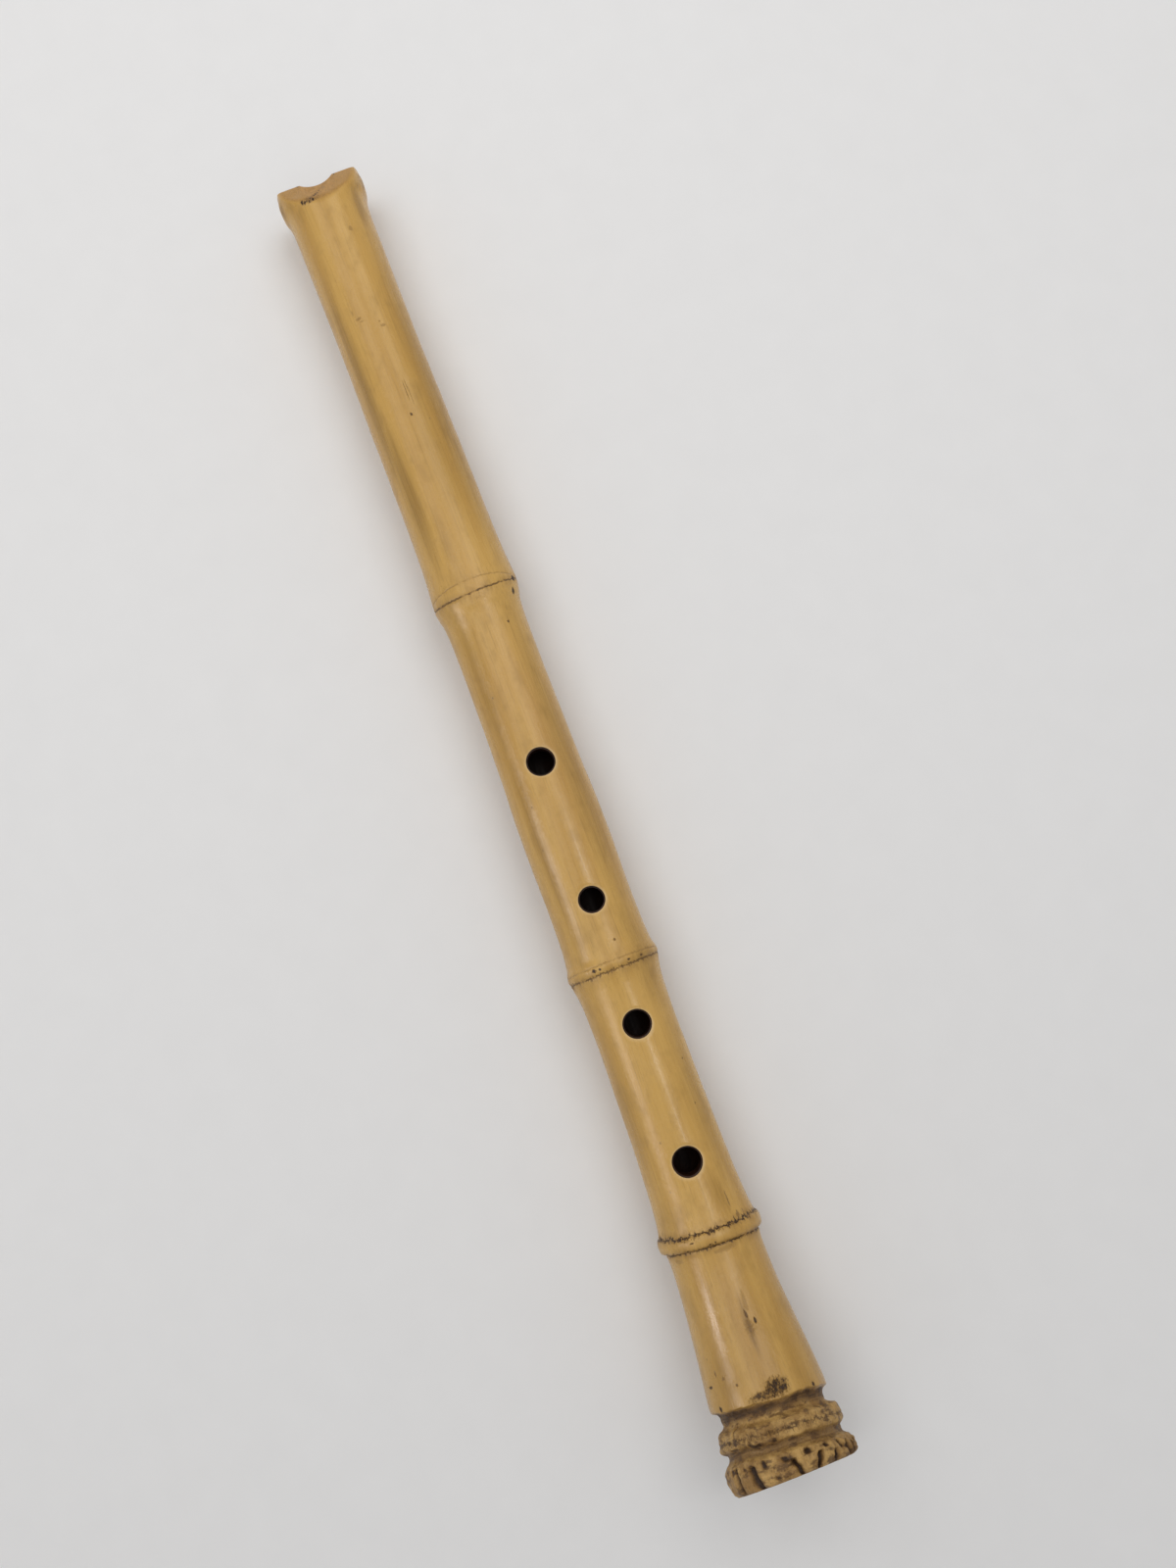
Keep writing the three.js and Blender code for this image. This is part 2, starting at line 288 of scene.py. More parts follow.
LINE = catmull_rom(CENTRELINE) + np.array(CENTRELINE_START)
LINE_STATIONS = np.concatenate([[0], np.cumsum(np.linalg.norm(np.diff(LINE, axis=0), axis=1))])
LINE_STATIONS *= LENGTH / LINE_STATIONS[-1]
LINE_TANGENTS = np.gradient(LINE, LINE_STATIONS, axis=0)


def axes_at(station):
    """Point, direction along, direction across and direction up at each station."""
    held = np.clip(station, 0, LENGTH)
    point = np.stack([np.interp(held, LINE_STATIONS, LINE[:, k]) for k in range(3)], axis=1)
    along = np.stack([np.interp(held, LINE_STATIONS, LINE_TANGENTS[:, k]) for k in range(3)], axis=1)
    along /= np.linalg.norm(along, axis=1, keepdims=True)
    across = np.cross([0, 0, 1], along)
    across /= np.linalg.norm(across, axis=1, keepdims=True)
    return point + along * (station - held)[:, None], along, across, np.cross(along, across)


def bent(straight):
    """Straight (station, across, up) to the frame."""
    point, _, across, up = axes_at(straight[:, 0])
    return point + across * straight[:, 1:2] + up * straight[:, 2:3]


def on_axes_at(station, straight):
    """Straight points to the frame on the axes at one station, so that they stay unbent."""
    point, along, across, up = (part[0] for part in axes_at(np.array([float(station)])))
    placed = point + np.outer(straight[:, 0] - station, along)
    return placed + np.outer(straight[:, 1], across) + np.outer(straight[:, 2], up)


def straightened(points):
    """The frame to straight (station, across, up)."""
    station = np.interp(points[:, 0], LINE[:, 0], LINE_STATIONS)
    for _ in range(6):
        point, along, across, up = axes_at(station)
        station = station + np.sum((points - point) * along, axis=1)
    point, along, across, up = axes_at(station)
    offset = points - point
    return np.stack([station, np.sum(offset * across, axis=1), np.sum(offset * up, axis=1)], axis=1)


# ---------------------------------------------------------------- relief of the skin

def leaning(station, angle):
    """How far the nodes and the carving are shifted along the culm here."""
    shift = np.zeros_like(station)
    for centre, reach, forward, sideways in LEANS:
        lean = forward * np.cos(angle) + sideways * np.sin(angle)
        shift += lean * bump((station - centre) / reach, flat=0.5)
    return shift


def chips(station, angle):
    """The ragged line that the carving's edges follow."""
    ragged = 0.55 * noise(11, station, angle, 9, 26) + 0.3 * noise(12, station, angle, 4, 70)
    return ragged * bump((station - (RIDGE - 2)) / 14, flat=0.6)


def seams(station, angle):
    """Fine grooves round the nodes."""
    depth = np.zeros_like(station)
    for centre, forward, sideways, half_width, teeth, darkness in SEAMS:
        away = station - centre - forward * np.cos(angle) - sideways * np.sin(angle)
        away += teeth * 0.5 * noise(21, station, angle, 30, 60)
        depth += SEAM_DEPTH * darkness * bump(away / (half_width + 0.35))
    return depth


def out_of_round(station, angle):
    """The culm's slow unevenness, with the flute that a branch bud leaves above its node."""
    height = 0.14 * noise(31, station, angle, 70, 5) + 0.05 * noise(32, station, angle, 16, 9)
    height *= smooth(station / MOUTH_END)
    for start, end, degrees in BRANCH_GROOVES:
        across = angle_between(angle, degrees) / BRANCH_GROOVE_HALF_WIDTH
        along = smooth((station - start) / 60) * smooth((end - station) / 8)
        height -= BRANCH_GROOVE_DEPTH * bump(across) * along
    return height


@functools.cache
def gouge_list():
    """The gouges round the root end: those listed at the front, the rest spaced by chance."""
    rng = np.random.default_rng(5)
    first, last = BACK_OF_ROOT
    found = list(GOUGES)
    for i in range(RANDOM_GOUGES):
        degrees = first + (i + rng.uniform(0.15, 0.85)) * (last - first) / RANDOM_GOUGES
        start = rng.uniform(537.4, 540.5)
        end = min(start + rng.uniform(3, 8), LENGTH + 0.5)
        found.append((degrees, start, end, rng.uniform(0.6, 1.5), rng.uniform(0.9, 2.0), rng.uniform(-1, 1)))
    return found


def gouges(station, angle):
    """How dark the gouges between the root stumps are, and how deep."""
    mask = np.zeros_like(station)
    depth = np.zeros_like(station)
    for degrees, start, end, half_width, deep, lean in gouge_list():
        middle = (start + end) / 2
        across = angle_between(angle, degrees) * FLARE_RADIUS - lean * (station - middle) / (end - start) * 2
        across += 0.35 * noise(41, station, angle, 1.6, 60)
        along = smooth((station - start) / 0.9) * smooth((end - station) / 0.9)
        here = bump(across / (half_width + 0.35), flat=0.25) * along
        darkening = 0.34 * bump(across / (half_width + 2.4))
        darkening *= bump((station - middle) / (end - start + 1), flat=0.3)
        mask = np.maximum(mask, np.maximum(here, darkening))
        depth = np.maximum(depth, deep * here)
    return mask, depth


def carved(station, angle):
    """Height and hollowness of the chopped root end."""
    ridge = bump((station - RIDGE) / 6.5, flat=0.45)
    flare = smooth((station - FLARE) / 1.5)
    blocks = 0.62 * noise(51, station, angle, 5, 22) + 0.34 * noise(52, station, angle, 2.2, 58)
    lumps = 0.50 * noise(53, station, angle, 3.6, 13) + 0.30 * noise(54, station, angle, 1.5, 40) - 0.15
    grain = 0.10 * noise(55, station, angle, 1.0, 130)
    from_lip = smooth((station - (LIP + 0.5)) / 1.5)
    mask, depth = gouges(station, angle)
    height = 1.25 * ridge * lumps + flare * (1.3 * blocks - 0.25) + from_lip * grain - depth
    height -= 0.7 * broken_patch(station, angle) * (0.5 + 0.5 * noise(56, station, angle, 1.1, 90))
    pits = smooth(3.2 * noise(57, station, angle, 2.2, 46) - 1.7) * np.maximum(ridge, flare)
    height -= 0.5 * pits
    hollow = np.maximum(mask, 0.8 * pits)
    hollow = np.maximum(hollow, 0.55 * ridge * smooth(-1.6 * lumps - 0.2))
    return height, hollow


def broken_patch(station, angle):
    """Where the lip of the last internode has crumbled, at the front."""
    across = angle_between(angle, 8) / math.radians(15)
    return bump((station - (LIP - 2.5)) / 4.5, flat=0.2) * bump(across, flat=0.2)


def hole_rims(station, angle, radius):
    """How far the skin is rubbed down round the holes."""
    drop = np.zeros_like(station)
    across = radius * np.sin(angle)
    for centre, diameter, side in HOLES:
        away = np.hypot(station - centre, across - HOLE_LINE) - diameter / 2
        near = (np.cos(angle) * side > 0) & (away < RIM_WIDTH)
        drop = np.where(near, RIM_DROP * smooth(1 - away / RIM_WIDTH) ** 2, drop)
    return drop


def facet_radius(station, angle):
    """Where the oblique cut across the mouth lies, as a radius."""
    height = CUT_HEIGHT + CUT_SLOPE * station
    facing = np.cos(angle)
    return np.where(facing > 0.05, height / np.maximum(facing, 0.05), 1e3)


def uncut_radius(station, angle):
    """The skin before the mouth was cut."""
    shifted = station - leaning(station, angle) - chips(station, angle)
    radius = outline(shifted) + out_of_round(station, angle) - seams(station, angle)
    radius += carved(shifted, angle)[0]
    return radius - hole_rims(station, angle, radius)


def skin_radius(station, angle):
    """The finished outside of the culm."""
    skin = uncut_radius(station, angle)
    facet = facet_radius(station, angle)
    blend = np.maximum(FACET_ROUNDING - np.abs(skin - facet), 0) / FACET_ROUNDING
    return np.minimum(skin, facet) - blend * blend * FACET_ROUNDING / 4


# ---------------------------------------------------------------- solids

def new_piece(name, vertices, faces):
    """A mesh object from vertices in millimetres."""
    mesh = bpy.data.meshes.new(name)
    mesh.from_pydata((np.asarray(vertices) * MM).tolist(), [], faces)
    mesh.update()
    piece = bpy.data.objects.new(name, mesh)
    bpy.context.scene.collection.objects.link(piece)
    return piece


def joined_rings(first, count, second, next_count):
    """Faces between a ring and the next one, which has as many vertices or twice as many."""
    faces = []
    step = next_count // count
    for i in range(count):
        after = (i + 1) % count
        a, b = first + i, first + after
        c, d = second + i * step, second + after * step
        if step == 1:
            faces.append((a, c, d, b))
        else:
            middle = c + 1
            faces += [(a, c, middle), (a, middle, b), (middle, d, b)]
    return faces


def solid_on_rings(name, rings, radius):
    """A closed solid round the centreline, on (station, columns) rings with a radius for each point."""
    stations = np.concatenate([np.full(columns, float(station)) for station, columns in rings])
    angles = np.concatenate([np.arange(columns) * math.tau / columns for _, columns in rings])
    radii = radius(stations, angles)
    vertices = bent(np.stack([stations, radii * np.sin(angles), radii * np.cos(angles)], axis=1))
    vertices[:, 2] = np.maximum(vertices[:, 2], 0)  # flat where it lies on the table
    faces = []
    start = 0
    for (_, columns), (_, next_columns) in zip(rings, rings[1:]):
        faces += joined_rings(start, columns, start + columns, next_columns)
        start += columns
    faces.append(tuple(range(rings[0][1])))
    faces.append(tuple(reversed(range(start, start + rings[-1][1]))))
    return new_piece(name, vertices, faces)


def skin_rings(start=0.0, end=LENGTH):
    """Rings that are close together where the skin has relief, and far apart where it is plain."""
    margin, spacing = HOLE_ZONE
    zones = list(FINE_ZONES)
    for station, diameter, _ in HOLES:
        zones.append((station - diameter / 2 - margin, station + diameter / 2 + margin, spacing))
    rings = []
    station = start
    while station < end - 0.1:
        rings.append((station, COLUMNS if station < ROOT_START else 2 * COLUMNS))
        spacings = [gap for low, high, gap in zones if low <= station < high]
        upcoming = [low for low, _, _ in zones if low > station]
        step = min(spacings, default=RING_SPACING)
        station = min([station + step] + [low for low in upcoming if low < station + step])
    rings.append((end, rings[-1][1]))
    return rings


def bore_solid(margin, overrun):
    """The playing bore and everything within this margin outside it."""
    rings = [(station, BORE_COLUMNS) for station in np.linspace(-overrun, LENGTH + overrun, BORE_RINGS)]
    return solid_on_rings("bore", rings, lambda station, angle: bore_radius(station) + margin)


def hole_solid(station, radius, side):
    """A pin along the axis of a hole, from the centreline out through the wall."""
    turn = np.arange(HOLE_COLUMNS) * math.tau / HOLE_COLUMNS
    circle = [station + radius * np.cos(turn), HOLE_LINE + radius * np.sin(turn)]
    levels = [np.full(HOLE_COLUMNS, side * height) for height in (0.0, CUTTER_TOP)]
    straight = np.vstack([np.stack(circle + [level], axis=1) for level in levels])
    faces = []
    for i in range(HOLE_COLUMNS):
        after = (i + 1) % HOLE_COLUMNS
        faces.append((i, after, HOLE_COLUMNS + after, HOLE_COLUMNS + i))
    faces.append(tuple(reversed(range(HOLE_COLUMNS))))
    faces.append(tuple(range(HOLE_COLUMNS, 2 * HOLE_COLUMNS)))
    if side < 0:
        faces = [tuple(reversed(face)) for face in faces]
    return new_piece("hole", on_axes_at(station, straight), faces)


def wedge_solid(margin):
    """The block that the blowing-edge insert is made from; with a margin, the cutter for its seat."""
    low = -OVERRUN if margin else 0.0
    foot = INSERT_LENGTH + margin
    top_width, foot_width = (
        INSERT_TOP + (INSERT_FOOT - INSERT_TOP) * station / INSERT_LENGTH + margin for station in (low, foot))
    corners = [(low, -top_width), (foot, -foot_width), (foot, foot_width), (low, top_width)]
    straight = np.array([(*corner, height) for height in (0.0, CUTTER_TOP) for corner in corners], float)
    sides = [(i, (i + 1) % 4, 4 + (i + 1) % 4, 4 + i) for i in range(4)]
    return new_piece("wedge", on_axes_at(0.0, straight), sides + [(3, 2, 1, 0), (4, 5, 6, 7)])


def combine(piece, operation, tool):
    """Cuts or joins two solids, and removes the tool."""
    modifier = piece.modifiers.new(operation, "BOOLEAN")
    modifier.operation = operation
    modifier.solver = "MANIFOLD"
    modifier.object = tool
    bpy.context.view_layer.update()
    made = bpy.data.meshes.new_from_object(piece.evaluated_get(bpy.context.evaluated_depsgraph_get()))
    made.materials.clear()
    piece.modifiers.clear()
    spent = [piece.data, tool.data]
    piece.data = made
    bpy.data.objects.remove(tool)
    for mesh in spent:
        bpy.data.meshes.remove(mesh)


def soften(piece, degrees):
    """Smooth shading, with edges sharper than this kept crisp."""
    mesh = piece.data
    shape = bmesh.new()
    shape.from_mesh(mesh)
    bmesh.ops.remove_doubles(shape, verts=shape.verts, dist=WELD)
    bmesh.ops.dissolve_degenerate(shape, edges=shape.edges, dist=WELD / 2)
    limit = math.radians(degrees)
    for edge in shape.edges:
        one_material = len({face.material_index for face in edge.link_faces}) == 1
        edge.smooth = one_material and edge.calc_face_angle(0) < limit
    for face in shape.faces:
        face.smooth = True
    shape.to_mesh(mesh)
    shape.free()


def straight_vertices(piece):
    """The vertices of a finished piece as (station, across, up)."""
    places = np.empty(len(piece.data.vertices) * 3)
    piece.data.vertices.foreach_get("co", places)
    return straightened(places.reshape(-1, 3) / MM)


def store(piece, name, kind, values):
    """Keeps a value for each vertex, for the material to read."""
    attribute = piece.data.attributes.new(name, kind, "POINT")
    field = "vector" if kind == "FLOAT_VECTOR" else "value"
    attribute.data.foreach_set(field, np.ravel(values).astype(np.float32))


def describe_skin(piece):
    """What the bamboo's material needs to know of each vertex."""
    straight = straight_vertices(piece)
    station = straight[:, 0]
    angle = np.arctan2(straight[:, 1], straight[:, 2])
    radius = np.hypot(straight[:, 1], straight[:, 2])
    shifted = station - leaning(station, angle) - chips(station, angle)
    cut_away = uncut_radius(station, angle) - radius
    at_mouth = station < MOUTH_END
    store(piece, "straight", "FLOAT_VECTOR", straight)
    store(piece, "facet", "FLOAT", smooth(cut_away / 0.9) * at_mouth)
    store(piece, "hollow", "FLOAT", carved(shifted, angle)[1] * smooth((shifted - (LIP - 2)) / 2))
    store(piece, "carving", "FLOAT", smooth(shifted - LIP))
    floor = bump((shifted - UPPER_GROOVE) / 2.8, flat=0.3) + bump((shifted - LOWER_GROOVE) / 2.4, flat=0.3)
    store(piece, "floor", "FLOAT", floor)
    # The rims round the holes, which the material paints paler as a painted highlight.
    store(piece, "rim", "FLOAT", hole_rims(station, angle, radius) / RIM_DROP)
    # Painted shade under the overhanging lip and under the carved ridge, stored as shade.
    under_lip = bump((shifted - (LIP + 1.9)) / 2.9, flat=0.2)
    under_ridge = 0.75 * bump((shifted - (LOWER_GROOVE - 1.2)) / 1.4)
    store(piece, "shade", "FLOAT", under_lip + under_ridge)


# ---------------------------------------------------------------- materials

def tone(code):
    """A screen colour such as "be9858" as linear light."""
    channels = [int(code[i:i + 2], 16) / 255 for i in (0, 2, 4)]
    return tuple(c / 12.92 if c < 0.04045 else ((c + 0.055) / 1.055) ** 2.4 for c in channels) + (1.0,)


class Shading:
    """A material's nodes, with one short call for each kind."""

    def __init__(self, name):
        self.material = bpy.data.materials.new(name)
        self.material.use_nodes = True
        self.tree = self.material.node_tree
        self.surface = self.tree.nodes["Principled BSDF"]

    def put(self, socket, value):
        if isinstance(value, bpy.types.NodeSocket):
            self.tree.links.new(value, socket)
        else:
            socket.default_value = value

    def new(self, kind, *values, **settings):
        node = self.tree.nodes.new(kind)
        for name, value in settings.items():
            setattr(node, name, value)
        for socket, value in zip(node.inputs, values):
            if value is not None:
                self.put(socket, value)
        return node

    def attribute(self, name, output="Fac"):
        return self.new("ShaderNodeAttribute", attribute_name=name).outputs[output]

    def math(self, operation, *values):
        return self.new("ShaderNodeMath", *values, operation=operation).outputs[0]

    def vector(self, operation, *values):
        node = self.new("ShaderNodeVectorMath", *values, operation=operation)
        return node.outputs["Value" if operation == "LENGTH" else "Vector"]

    def remap(self, value, low, high, out_low=0.0, out_high=1.0):
        ends = (low, high, out_low, out_high)
        return self.new("ShaderNodeMapRange", value, *ends, interpolation_type="SMOOTHSTEP").outputs[0]

    def noise(self, vector, stretch, detail=3.0, roughness=0.5, distortion=0.0):
        scaled = self.vector("MULTIPLY", vector, stretch)
        node = self.new("ShaderNodeTexNoise", scaled)
        values = {"Scale": 1.0, "Detail": detail, "Roughness": roughness, "Distortion": distortion}
        for name, value in values.items():
            node.inputs[name].default_value = value
        return node.outputs[0]

    def cells(self, vector, stretch):
        scaled = self.vector("MULTIPLY", vector, stretch)
        node = self.new("ShaderNodeTexVoronoi", scaled)
        node.inputs["Scale"].default_value = 1.0
        return node

    def mix(self, factor, below, above, blend="MIX"):
        node = self.tree.nodes.new("ShaderNodeMix")
        node.data_type = "RGBA"
        node.blend_type = blend
        for index, value in ((0, factor), (6, below), (7, above)):
            self.put(node.inputs[index], value)
        return node.outputs[2]

    def bump(self, heights):
        """Bump from (height, distance in mm) pairs, one on top of the other."""
        normal = None
        for height, distance in heights:
            node = self.tree.nodes.new("ShaderNodeBump")
            node.inputs["Distance"].default_value = distance * MM
            self.put(node.inputs["Height"], height)
            if normal is not None:
                self.put(node.inputs["Normal"], normal)
            normal = node.outputs[0]
        self.put(self.surface.inputs["Normal"], normal)

    def finish(self, **values):
        for name, value in values.items():
            self.put(self.surface.inputs[name.replace("_", " ")], value)
        return self.material


def on_skin(marks):
    """The straight places of marks on the skin."""
    stations = np.array([mark[0] for mark in marks], float)
    angles = np.radians([mark[1] for mark in marks])
    radii = skin_radius(stations, angles)
    return np.stack([stations, radii * np.sin(angles), radii * np.cos(angles)], axis=1).tolist()


def on_facet(station, across):
    """The straight place of a mark on the cut at the mouth, or on the skin just below it."""
    height = min(CUT_HEIGHT + CUT_SLOPE * station, math.sqrt(float(outline(station)) ** 2 - across**2))
    return (station, across, height)


def seam_masks(s, straight, wobble):
    """Dark lines round the nodes."""
    station, across, up = (s.new("ShaderNodeSeparateXYZ", straight).outputs[k] for k in range(3))
    radius = s.math("SQRT", s.math("ADD", s.math("MULTIPLY", across, across), s.math("MULTIPLY", up, up)))
    cosine = s.math("DIVIDE", up, radius)
    sine = s.math("DIVIDE", across, radius)
    total = 0.0
    broken = s.remap(s.noise(straight, (0.02, 0.35, 0.35), 2.0), 0.35, 0.55, 0.55, 1.0)
    ticks = s.remap(s.noise(straight, (0.10, 1.1, 1.1), 2.0, 0.6), 0.52, 0.62)
    grime = s.remap(s.noise(straight, (0.12, 0.3, 0.3), 4.0, 0.65), 0.30, 0.62, 0.25, 1.0)
    for centre, forward, sideways, half_width, teeth, darkness in SEAMS:
        line = s.math("MULTIPLY_ADD", cosine, -forward, station)
        line = s.math("MULTIPLY_ADD", sine, -sideways, line)
        line = s.math("MULTIPLY_ADD", wobble, teeth * 6, line)
        from_line = s.math("SUBTRACT", line, centre + teeth * 3)
        away = s.math("ABSOLUTE", from_line)
        mask = s.math("MULTIPLY", broken, s.remap(away, half_width + 0.25, half_width * 0.3, 0.0, darkness))
        halo = s.math("MULTIPLY", grime, s.remap(away, half_width + 4.5, 0.0, 0.0, darkness * 0.42))
        total = s.math("MAXIMUM", total, s.math("MAXIMUM", mask, halo))
        if teeth > 0.3:
            fringe = s.math("MULTIPLY", ticks, s.remap(away, 0.8 + 2 * teeth, 0.3, 0.0, darkness))
            total = s.math("MAXIMUM", total, fringe)
    return total


def scribble_marks():
    """The scribble on the facet as (place, half length, half width, darkness)."""
    return [(on_facet(station, across), *rest) for station, across, *rest in SCRIBBLE]


def skin_marks():
    """Every mark on the skin as (place, half length, half width, darkness)."""
    return [(place, *mark[2:]) for place, mark in zip(on_skin(MARKS), MARKS)]


def mark_masks(s, straight, marks, ragged):
    """Specks, scars and cracks."""
    total = 0.0
    speckled = s.remap(s.noise(straight, (0.50, 0.62, 0.62), 5.0, 0.78), 0.40, 0.60, 0.30, 1.0)
    for place, along, across, darkness in marks:
        away = s.vector("SUBTRACT", straight, place)
        away = s.vector("MULTIPLY", away, (1 / along, 1 / across, 1 / across))
        distance = s.math("ADD", s.vector("LENGTH", away), ragged)
        mask = s.remap(distance, 1.15, 0.45, 0.0, darkness)
        if min(along, across) > SPECKLED_FROM:
            mask = s.math("MULTIPLY", mask, speckled)
        total = s.math("MAXIMUM", total, mask)
    return total


def bamboo_skin():
    """Old golden bamboo: lengthwise bands and fibres, dark seams, specks, and a brown chopped root end."""
    s = Shading("bamboo_skin")
    straight = s.attribute("straight", "Vector")
    bands = s.noise(straight, (0.007, 0.13, 0.13), 3.0)
    broad = s.noise(s.vector("ADD", straight, (300.0, 40.0, 9.0)), (0.004, 0.05, 0.05), 2.0)
    fibres = s.noise(straight, (0.035, 1.7, 1.7), 4.0, 0.6)
    mottle = s.noise(straight, (0.10, 0.16, 0.16), 4.0, 0.6)
    fine = s.noise(straight, (0.9, 1.6, 1.6), 4.0, 0.65)
    teeth = s.noise(straight, (0.25, 0.75, 0.75), 3.0, 0.7)

    colour = s.mix(s.remap(bands, 0.36, 0.66), tone("d0a559"), tone("c2964b"))
    colour = s.mix(s.remap(broad, 0.52, 0.72, 0.0, 0.25), colour, tone("c89b6c"))
    colour = s.mix(s.remap(mottle, 0.48, 0.74, 0.0, 0.40), colour, tone("a57e3c"))
    colour = s.mix(s.remap(fibres, 0.50, 0.75, 0.0, 0.30), colour, tone("8a662f"))
    colour = s.mix(s.remap(fibres, 0.45, 0.28, 0.0, 0.18), colour, tone("dab46c"))
    streaked = s.remap(fibres, 0.30, 0.62, 0.65, 1.0)
    weathered = s.math("MULTIPLY", soft_patches(s, straight, WEATHERING), streaked)
    colour = s.mix(weathered, colour, tone("835f26"))
    specks = s.cells(straight, (0.11, 0.17, 0.17))
    lottery = s.new("ShaderNodeSeparateColor", specks.outputs["Color"]).outputs[0]
    chosen = s.math("GREATER_THAN", lottery, 0.86)
    dots = s.math("MULTIPLY", s.remap(specks.outputs["Distance"], 0.085, 0.03, 0.0, 0.5), chosen)
    colour = s.mix(dots, colour, tone("4a3014"))

    station = s.new("ShaderNodeSeparateXYZ", straight).outputs[0]
    towards_root = s.remap(station, 430.0, 522.0, 0.0, 0.34)
    browned = s.math("MULTIPLY", towards_root, s.remap(bands, 0.3, 0.6, 0.5, 1.0))
    colour = s.mix(browned, colour, tone("8f6c33"))

    facet = s.attribute("facet")
    cut_fibres = s.noise(straight, (0.12, 3.2, 3.2), 3.0)
    cut_grain = s.mix(s.remap(cut_fibres, 0.4, 0.7), tone("b68842"), tone("9b7235"))
    colour = s.mix(facet, colour, cut_grain)
    # Painted highlight: the rims of the holes are painted paler, standing in for the light caught on their
    # rounded edges.
    colour = s.mix(s.math("MULTIPLY", s.attribute("rim"), 0.8), colour, tone("d8b67c"))

    carving = s.attribute("carving")
    root = s.mix(s.remap(mottle, 0.35, 0.65), tone("cba25e"), tone("9d763d"))
    root = s.mix(s.math("MULTIPLY", s.attribute("floor"), 0.85), root, floor_colour(s, straight))
    blotches = s.noise(straight, (0.42, 0.20, 0.20), 4.0, 0.6)
    root = s.mix(s.remap(blotches, 0.50, 0.64, 0.0, 0.78), root, tone("5a3c1a"))
    root = s.mix(s.remap(fine, 0.52, 0.74, 0.0, 0.45), root, tone("3f2911"))
    colour = s.mix(carving, colour, root)

    seams_here = seam_masks(s, straight, teeth)
    ragged = s.math("MULTIPLY_ADD", fine, 1.6, -0.8)
    marks_here = mark_masks(s, straight, skin_marks() + scribble_marks(), ragged)
    dark = s.math("MAXIMUM", seams_here, marks_here)
    # Painted shade under the lip and the ridge, made patchy by the blotches.
    darkening = s.remap(blotches, 0.30, 0.62, 0.32, 0.62)
    dark = s.math("MAXIMUM", dark, s.math("MULTIPLY", s.attribute("shade"), darkening))
    ragged_hollow = s.math("MULTIPLY", s.attribute("hollow"), s.remap(fine, 0.25, 0.5, 0.75, 1.0))
    dark = s.math("MAXIMUM", dark, ragged_hollow)
    colour = s.mix(s.remap(dark, 0.0, 0.55), colour, s.mix(0.5, colour, tone("6b4722"), "MULTIPLY"))
    colour = s.mix(s.remap(dark, 0.35, 0.95), colour, tone("35200c"))

    s.bump([(fibres, 0.05), (mottle, 0.25), (s.math("MULTIPLY", fine, s.math("ADD", carving, 0.10)), 0.5),
            (s.math("MULTIPLY", blotches, carving), 1.2), (s.math("SUBTRACT", 1.0, dark), 0.3)])
    roughness = s.remap(mottle, 0.3, 0.7, 0.22, 0.36)
    roughness = s.math("MULTIPLY_ADD", s.math("MAXIMUM", carving, dark), 0.28, roughness)
    roughness = s.math("MULTIPLY_ADD", facet, 0.15, roughness)
    polish = s.math("MULTIPLY", soft_patches(s, straight, POLISHED), s.remap(fibres, 0.35, 0.60, 0.4, 1.0))
    roughness = s.math("MULTIPLY_ADD", polish, -0.10, roughness)
    clear = s.math("MULTIPLY", s.math("MULTIPLY_ADD", polish, 0.3, 0.06), s.remap(dark, 0.0, 0.4, 1.0, 0.0))
    return s.finish(
        Base_Color=colour, Roughness=roughness, Specular_IOR_Level=0.38,
        Coat_Weight=clear, Coat_Roughness=0.16,
    )


def soft_patches(s, straight, patches):
    """Long soft-edged patches on the skin, each at its own strength."""
    total = 0.0
    for place, (_, _, along, across, strength) in zip(on_skin(patches), patches):
        away = s.vector("SUBTRACT", straight, place)
        away = s.vector("MULTIPLY", away, (1 / along, 1 / across, 1 / across))
        total = s.math("MAXIMUM", total, s.remap(s.vector("LENGTH", away), 1.0, 0.15, 0.0, strength))
    return total


def floor_colour(s, straight):
    """The smooth olive-brown bottoms of the two grooves carved round the root."""
    ripple = s.noise(straight, (1.4, 0.10, 0.10), 3.0)
    return s.mix(s.remap(ripple, 0.35, 0.7), tone("8d6a38"), tone("62441f"))


def end_grain():
    """Sawn bamboo: pale wood with the dark dots of its fibre bundles, denser towards the skin."""
    s = Shading("end_grain")
    straight = s.attribute("straight", "Vector")
    split = s.new("ShaderNodeSeparateXYZ", straight)
    across, up = split.outputs[1], split.outputs[2]
    radius = s.math("SQRT", s.math("ADD", s.math("MULTIPLY", across, across), s.math("MULTIPLY", up, up)))
    bundles = s.cells(straight, (0.0, 1.15, 1.15)).outputs["Distance"]
    threads = s.cells(straight, (0.0, 2.3, 2.3)).outputs["Distance"]
    outward = s.remap(radius, 12.0, 19.0)
    dots = s.math("MAXIMUM", s.remap(bundles, 0.36, 0.22, 0.0, 0.8),
                  s.math("MULTIPLY", s.remap(threads, 0.4, 0.25), outward))
    stain = s.noise(straight, (0.1, 0.22, 0.22), 4.0, 0.6)
    colour = s.mix(s.remap(stain, 0.35, 0.7), tone("c7a167"), tone("a87f4a"))
    colour = s.mix(dots, colour, tone("7a5730"))
    grime = s.noise(straight, (0.3, 0.5, 0.5), 4.0, 0.7)
    colour = s.mix(s.remap(grime, 0.58, 0.74, 0.0, 0.7), colour, tone("4c3219"))
    s.bump([(dots, 0.12), (stain, 0.2)])
    return s.finish(Base_Color=colour, Roughness=s.remap(stain, 0.3, 0.7, 0.5, 0.66))


